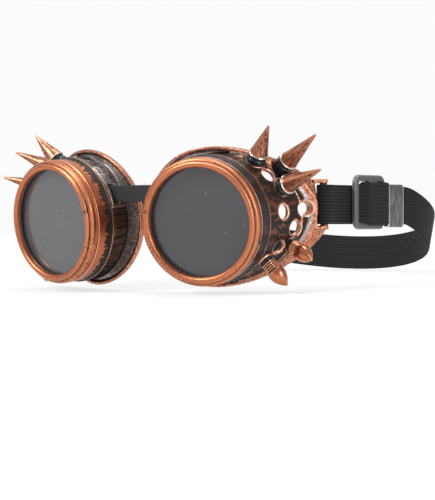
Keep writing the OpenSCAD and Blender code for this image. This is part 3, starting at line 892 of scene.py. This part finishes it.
def back_point(x, run):
    """A point behind the ears, run millimetres down the steeper slope."""
    y0 = DROP_Y + DROP_R * math.sin(BACK_DROOP)
    z0 = -DROP_R * (1 - math.cos(BACK_DROOP))
    return side_point(x, y0 + run * math.cos(BACK_DROOP), z0 - run * math.sin(BACK_DROOP))


def band_up(p):
    """The strap's width stands square to the slope it lies on: 2 degrees, then 20 behind the ears."""
    run = BAR.y + (p.y - BAR.y) * math.cos(SIDE_DROOP) - (p.z - BAR.z) * math.sin(SIDE_DROOP)
    turn = math.asin(min(max((run - DROP_Y) / DROP_R, 0), math.sin(BACK_DROOP)))
    return Vector((0, math.sin(SIDE_DROOP + turn), math.cos(SIDE_DROOP + turn)))


def half_route(outer_end):
    """One side's middle line, from the end of its outer layer to the middle of the back."""
    points = [side_point(BAR.x + LAYER, outer_end, 0), side_point(BAR.x + LAYER, BAR.y + 11, 0)]
    points += [side_point(BAR.x + BAR_LOOP * math.cos(a), BAR.y + BAR_LOOP * math.sin(a), 0)
               for a in np.linspace(0, -math.pi, 13)]
    points += [side_point(BAR.x - LAYER, BAR.y + 11, 0), side_point(BAR.x - LAYER, DROP_Y, 0)]
    points += [side_point(BAR.x - LAYER, DROP_Y + DROP_R * math.sin(a), -DROP_R * (1 - math.cos(a)))
               for a in np.linspace(0.04, BACK_DROOP, 6)]
    radius = BAR.x - LAYER
    points += [back_point(radius * math.cos(a), 0.5 + ROUND_LEN * math.sin(a))
               for a in np.linspace(0.03, math.pi / 2, 40)]
    return points


left_half = smooth_path(half_route(88.0), 3)
right_half = smooth_path(half_route(83.0), 3)
mirrored = [Vector((-p.x, p.y, p.z)) for p in reversed(right_half)]
whole = left_half[:-1] + mirrored
strap = sweep_band("elastic_strap", band_route(whole, band_up), STRAP_WIDTH, STRAP_THICK, webbing, None,
                   ["left_strap", "right_strap"])
BACK_MIDDLE = back_point(0, 0.5 + ROUND_LEN) * MM
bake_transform(strap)
print("strap length mm:", round(sum((b - a).length for a, b in zip(whole, whole[1:]))))

# %% [markdown]
# ## Slider, its webbing and the clips
# The slider is a moulded frame with three bars. Webbing rises through its first window, lies over
# the middle bar and goes down into a folded sheet-metal clip. All three ride on the slider's body.

# %% Slider frame
satin = Finish("satin black slider", Metallic=0.0)
satin_noise = satin.noise(satin.place(), 0.7, 4, 0.6)
# painted highlight: the rounded edges of the black plastic are painted light grey
satin_edge_highlight = (satin.attribute("wear_and_highlight") - 0.5).step(0.02, 0.2)
satin.set(Base_Color=satin.mix(satin_edge_highlight, (0.045, 0.045, 0.050), (0.20, 0.20, 0.21)),
          Roughness=0.30 + satin_noise * 0.16,
          Normal=satin.bump(satin.noise(satin.place(), 2.2, 3), 0.12, 0.05))
SLIDER_Y, SLIDER_LEN, SLIDER_H, SLIDER_T, SLIDER_BAR = 78.0, 27.0, 26.4, 2.6, 3.2
FRAME_X = BAR.x + LAYER + STRAP_THICK / 2 + 0.3
FRAME_RISE = 1.3
slope = Matrix.Translation((0, BAR.y, BAR.z)) @ Matrix.Rotation(-SIDE_DROOP, 4, "X")
slope_axes = Matrix.Scale(MM, 4) @ slope @ Matrix.Translation((0, -BAR.y, 0))


def soft_box(lo, hi, radius):
    """A block with rounded edges, as (vertices, faces)."""
    shape = bmesh.new()
    bmesh.ops.create_cube(shape, size=1)
    for v in shape.verts:
        v.co = Vector([lo[i] + (v.co[i] + 0.5) * (hi[i] - lo[i]) for i in range(3)])
    bmesh.ops.bevel(shape, geom=shape.edges[:], offset=radius, segments=3, profile=0.5, affect="EDGES")
    out = [tuple(v.co) for v in shape.verts], [[v.index for v in f.verts] for f in shape.faces]
    shape.free()
    return out


def outline_sides(path):
    """Each point of a closed flat outline, with the direction that points out of it."""
    out = []
    for i, point in enumerate(path):
        heading = (Vector(path[(i + 1) % len(path)]) - Vector(path[i - 1])).normalized()
        out.append((point, (heading.y, -heading.x)))
    return out


def tube_round(section, path, x):
    """A closed bar of (across, depth) section, swept round a flat outline of (y, z) points at x."""
    vertices = [(depth + x, y + side_y * across, z + side_z * across)
                for (y, z), (side_y, side_z) in outline_sides(path) for across, depth in section]
    return vertices, grid_faces(len(path), len(section))


def frame_path(y0, y1, z0, z1, radius, steps=8):
    """A rectangle with round corners."""
    corners = [((y1 - radius, z1 - radius), 0), ((y0 + radius, z1 - radius), 90),
               ((y0 + radius, z0 + radius), 180), ((y1 - radius, z0 + radius), 270)]
    path = []
    for centre, start in corners:
        path += arc(centre, radius, start, start + 90, steps)
    return path


def slider_shape():
    """The rim and the middle bar, which ends inside the rim."""
    half = SLIDER_BAR / 2
    z0, z1 = FRAME_RISE - SLIDER_H / 2, FRAME_RISE + SLIDER_H / 2
    path = frame_path(SLIDER_Y + half, SLIDER_Y + SLIDER_LEN - half, z0 + half, z1 - half, 2.8)
    deep = SLIDER_T / 2
    section = rounded([(-half, -deep), (half, -deep), (half, deep), (-half, deep)], 1.0, 4)
    rim = tube_round(section, path, FRAME_X + deep)
    cross = SLIDER_Y + SLIDER_LEN / 2
    bar = soft_box((FRAME_X + 0.1, cross - half, z0 + 1.5),
                   (FRAME_X + SLIDER_T - 0.1, cross + half, z1 - 1.5), 0.8)
    return rim[0] + bar[0], rim[1] + [[i + len(rim[0]) for i in face] for face in bar[1]]


vertices, faces = slider_shape()
slider = new_piece("slider_loop", vertices, faces, slope_axes, satin, "slider_body",
                   ["slider_frame"])
tag(slider, slope_axes, gain=1.0)
print("slider vertices:", len(vertices))

# %% Slider webbing
CLIP_Y = SLIDER_Y + SLIDER_LEN + 6.5
CLIP_LEN = 14.0
TAIL_TOP = FRAME_X + SLIDER_T + 0.9
TAIL_LOW = BAR.x - LAYER + STRAP_THICK + 0.3


def ease(s):
    return s * s * (3 - 2 * s)


def slant_route(x0, x1, y0, y1):
    """The webbing's middle line from depth x0 to depth x1, level at both ends."""
    return [side_point(x0 + (x1 - x0) * ease(s), y0 + (y1 - y0) * s, 0) for s in np.linspace(0, 1, 9)]


rise_from, rise_to = SLIDER_Y + SLIDER_BAR + 1.2, SLIDER_Y + SLIDER_LEN / 2 - SLIDER_BAR / 2 - 1
fall_from = SLIDER_Y + SLIDER_LEN + 0.8
over = slant_route(FRAME_X + 0.6, TAIL_TOP, rise_from, rise_to)
over += slant_route(TAIL_TOP, TAIL_LOW, fall_from, CLIP_Y - 0.5)
over += [side_point(TAIL_LOW, CLIP_Y + CLIP_LEN - 1, 0)]
over = smooth_path(over, 3, step=0.8)
LOOP_WIDTH = STRAP_WIDTH - 0.8
LOOP_RISE = 0.4
SPREAD_UP, SPREAD_DOWN = 1.75, 1.4


def swell(y, start):
    """The folded webbing spreads past start and narrows again into the clip."""
    return ease(min(max((y - start) / 3, 0), 1) * min(max((CLIP_Y - 1 - y) / 6, 0), 1))


route = []
for p, out, up in band_route(over, band_up):
    top = LOOP_WIDTH / 2 + LOOP_RISE + SPREAD_UP * swell(p.y, rise_from)
    bottom = -LOOP_WIDTH / 2 + LOOP_RISE - SPREAD_DOWN * swell(p.y, rise_to - 1.5)
    route.append((p + up * (top + bottom) / 2, -out, up * (top - bottom) / LOOP_WIDTH))
sweep_band("slider_webbing_loop", route, LOOP_WIDTH, STRAP_THICK, loop_webbing, "slider_body",
           ["slider_webbing"])
print("slider webbing points:", len(over))

# %% Sheet-metal clips
CLIP_HALF = STRAP_WIDTH / 2 + 0.4
CLIP_DROP, SHEET_THICK, END_CLIP_HALF_X = 0.3, 0.8, STRAP_THICK + 0.2
sheet_metal = Finish("worn sheet metal", Metallic=1.0)
sheet_noise = sheet_metal.noise(sheet_metal.place().stretch(1, 1, 0.25), 0.8, 5, 0.6)
sheet_edge = sheet_metal.attribute("hem")
sheet_tone = sheet_metal.mix(sheet_noise.step(0.35, 0.7), (0.085, 0.087, 0.093), (0.26, 0.26, 0.27))
sheet_metal.set(Base_Color=sheet_metal.mix(sheet_edge, sheet_tone, (0.85, 0.85, 0.86)),
                Roughness=0.36 + sheet_noise * 0.2 - sheet_edge * 0.15,
                Normal=sheet_metal.bump(sheet_noise, 0.2, 0.06))


def sleeve_shape(x0, x1, y0, length):
    """A sheet folded round the webbing, its corners rounded and its ends slightly flared."""
    deep = SHEET_THICK / 2
    half = CLIP_HALF + deep
    outline = frame_path(x0 - deep, x1 + deep, -half, half, 0.9, 5)
    flares = [(0.0, 0.0), (0.25, 0.12), (0.5, 0.08), (0.9, 0)]
    stations = flares + [(length / 2, 0)] + [(length - y, flare) for y, flare in reversed(flares)]
    loop = [(y, deep + flare) for y, flare in stations] + [(y, -deep) for y, _ in reversed(stations)]
    vertices = [(x + side_x * d, y0 + y, z + side_z * d)
                for (x, z), (side_x, side_z) in outline_sides(outline) for y, d in loop]
    return vertices, grid_faces(len(outline), len(loop))


def make_clip(name, node, x0, x1, y0, length, axes, shift, body):
    """One clip. Its mask 'hem' is 1 on the two cut ends, where the sheet is rubbed bright."""
    vertices, faces = sleeve_shape(x0, x1, y0, length)
    clip = new_piece(name, vertices, faces, axes @ shift, sheet_metal, body, [node])
    ends = np.array((y0, y0 + length))
    tag(clip, axes, more={"hem": lambda p: 1 - ramp(np.abs(p[:, 1:2] - ends).min(1), 0.3, 0.7)})


mirror_axes = Matrix.Scale(-1, 4, (1, 0, 0)) @ slope_axes
make_clip("folded_clip", "slider_clip", BAR.x - LAYER - 0.9, TAIL_LOW + 0.65, CLIP_Y, CLIP_LEN,
          slope_axes, Matrix.Translation((0, 0, -CLIP_DROP)), "slider_body")
make_clip("end_clip", "strap_end_clip", BAR.x - END_CLIP_HALF_X, BAR.x + END_CLIP_HALF_X,
          BAR.y + 16, 10.0, mirror_axes, Matrix(), "right_strap_body")
print("clips done")

# %% [markdown]
# ## Pieces that stay as the CAD has them
# Lenses and screws already have their real shape and keep the CAD mesh. They only need a finish, read
# from millimetre coordinates; on the lenses that includes painted shade, darker on the left lens. The
# gaskets and the nose strip are rubber, so they get rounded edges.

# %% Lens, rubber and screws
# each gasket's body, its inner and outer radius, and its front and back behind the ring's front
GASKETS = {"_front_gasket": ("_lens_pack", OPENING_RADIUS, 27.1, 2.95, 4.4),
           "_rear_gasket": ("_cup", 24.9, 27.1, 6.5, 7.55)}
glass = Finish("smoked lens", IOR=1.5, Coat_Weight=0.6, Coat_Roughness=0.03)
glass_place = glass.object_place()
dust = glass.noise(glass_place, 0.62, 1, 0.5).step(0.765, 0.79)
haze = glass.noise(glass_place, 0.03, 2, 0.5)
# painted shade: the left lens (X above 0) is painted darker than the right, though both are the same glass
shade = glass.mix(glass_place.part("X").step(-12, 12), (0.062, 0.062, 0.070), (0.022, 0.022, 0.028))
glass.set(Base_Color=glass.mix(dust * 0.55 + haze * 0.08, shade, (0.30, 0.30, 0.31)),
          Roughness=0.12 + dust * 0.3 + haze * 0.05)
rubber = Finish("black rubber", Metallic=0.0)
rubber_noise = rubber.noise(rubber.object_place(), 1.2, 4, 0.6)
rubber.set(Base_Color=rubber.mix(rubber_noise, (0.006, 0.006, 0.0065), (0.024, 0.024, 0.026)),
           Roughness=0.52 + rubber_noise * 0.15,
           Normal=rubber.bump(rubber_noise, 0.15, 0.05))
screw_metal = Finish("plain screws", Metallic=1.0)
screw_noise = screw_metal.noise(screw_metal.object_place(), 1.0, 3)
screw_metal.set(Base_Color=screw_metal.mix(screw_noise, (0.35, 0.34, 0.33), (0.6, 0.58, 0.56)),
                Roughness=0.3 + screw_noise * 0.15)


def dress(node, finish):
    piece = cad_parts[node]
    piece.data.materials.clear()
    piece.data.materials.append(finish.material)


for side in SIDES:
    dress(side + "_lens", glass)
    for name, (body, r0, r1, w0, w1) in GASKETS.items():
        outline = rounded([(r0, w0), (r1, w0), (r1, w1), (r0, w1)], 0.3, 4)
        lens_round(side, name + "_rubber", outline, rubber, body, name, 120)
    dress(side + "_spike_screws", screw_metal)
moulded("nose_strip", "nose_bridge", "left", rubber, "nose_bridge_body", 0.35, 2)
print("carried-over nodes dressed")

# %% [markdown]
# ## Floor and light
# A pale floor that curves up into a wall keeps the background plain. Three large lamps and a pale
# world give soft studio light, at a level where a colour renders about as it is written. The camera
# sees the world itself as white, so that no horizon shows past the floor's near end.

# %% Stage
FLOOR_Z = cad_box[0][2] - 0.001
FLOOR_NEAR, FLOOR_FAR, FLOOR_SIDE = -3.0, 1.2, 3.4
WALL_CURVE, WALL_TOP = 0.5, 2.4
FLOOR_GLOW = 0.72


def make_stage():
    profile = [(FLOOR_NEAR, 0), (FLOOR_FAR, 0)]
    profile += [(FLOOR_FAR + WALL_CURVE * math.sin(a), WALL_CURVE * (1 - math.cos(a)))
                for a in np.linspace(0.1, math.pi / 2, 12)]
    profile += [(FLOOR_FAR + WALL_CURVE, WALL_TOP)]
    away = Vector((-CAMERA_BACK.x, -CAMERA_BACK.y, 0)).normalized()
    aside = Vector((-away.y, away.x, 0))
    vertices = [tuple(away * d + aside * s + Vector((0, 0, FLOOR_Z + h)))
                for s in (-FLOOR_SIDE, FLOOR_SIDE) for d, h in profile]
    n = len(profile)
    faces = [(i, i + 1, n + i + 1, n + i) for i in range(n - 1)]
    mesh = bpy.data.meshes.new("backdrop")
    mesh.from_pydata(vertices, [], faces)
    mesh.shade_smooth()
    floor = bpy.data.objects.new("backdrop", mesh)
    bpy.context.collection.objects.link(floor)
    paper = Finish("pale paper", Roughness=0.9)
    grain = paper.noise(paper.object_place(), 0.01)
    paper.set(Base_Color=paper.mix(grain, (0.83, 0.83, 0.83), (0.85, 0.85, 0.85)))
    direct, mirrored, through = (paper.node("LightPath", out=k) for k in (0, 3, 6))
    seen = direct.most(mirrored).most(through) * FLOOR_GLOW
    glow = paper.node("Emission", {0: (1, 1, 1, 1), 1: 1.0})
    both = paper.node("MixShader", {0: seen, 1: Shade(paper, paper.shader.outputs[0]), 2: glow})
    paper.tree.links.new(both.socket, paper.end.inputs[0])
    mesh.materials.append(paper.material)
    floor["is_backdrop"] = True


def lamp(name, place, target, size, power):
    data = bpy.data.lights.new(name, "AREA")
    data.shape = "RECTANGLE"
    data.size, data.size_y = size
    data.energy = power
    light = bpy.data.objects.new(name, data)
    light.location = place
    light.rotation_euler = (Vector(target) - Vector(place)).to_track_quat("-Z", "Y").to_euler()
    bpy.context.collection.objects.link(light)


def make_world():
    world = bpy.data.worlds.new("studio")
    bpy.context.scene.world = world
    world.use_nodes = True
    tree = world.node_tree
    light = tree.nodes["Background"]
    light.inputs[0].default_value = (0.95, 0.96, 1.0, 1)
    light.inputs[1].default_value = 0.5
    white = tree.nodes.new("ShaderNodeBackground")
    white.inputs[0].default_value = (1, 1, 1, 1)
    choose = tree.nodes.new("ShaderNodeMixShader")
    path = tree.nodes.new("ShaderNodeLightPath")
    for k, source in enumerate((path, light, white)):
        tree.links.new(source.outputs[0], choose.inputs[k])
    tree.links.new(choose.outputs[0], tree.nodes["World Output"].inputs[0])


make_stage()
lamp("key", (-0.6, -1.1, 1.1), (0, 0.03, 0), (0.6, 0.6), 20)
lamp("fill", (1.5, -0.3, 0.5), (0, 0.05, 0), (0.5, 0.9), 9)
lamp("top", (0.1, 0.3, 1.5), (0, 0.05, 0), (1.0, 0.6), 12)
make_world()
bpy.context.scene.view_settings.view_transform = "Standard"
print("stage and lamps ready")

# %% [markdown]
# ## The sizes of the dressed model and the CAD model
# The dressed model must stay inside the CAD model's box, so the sizes of both boxes are printed next to
# each other.

# %% Print the sizes
visual_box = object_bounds()
sizes = {"cad": [list(p) for p in cad_box], "visual": [list(p) for p in visual_box]}
print("cad mm:", [round((b - a) * 1000, 1) for a, b in zip(*sizes["cad"])],
      "visual mm:", [round((b - a) * 1000, 1) for a, b in zip(*sizes["visual"])])
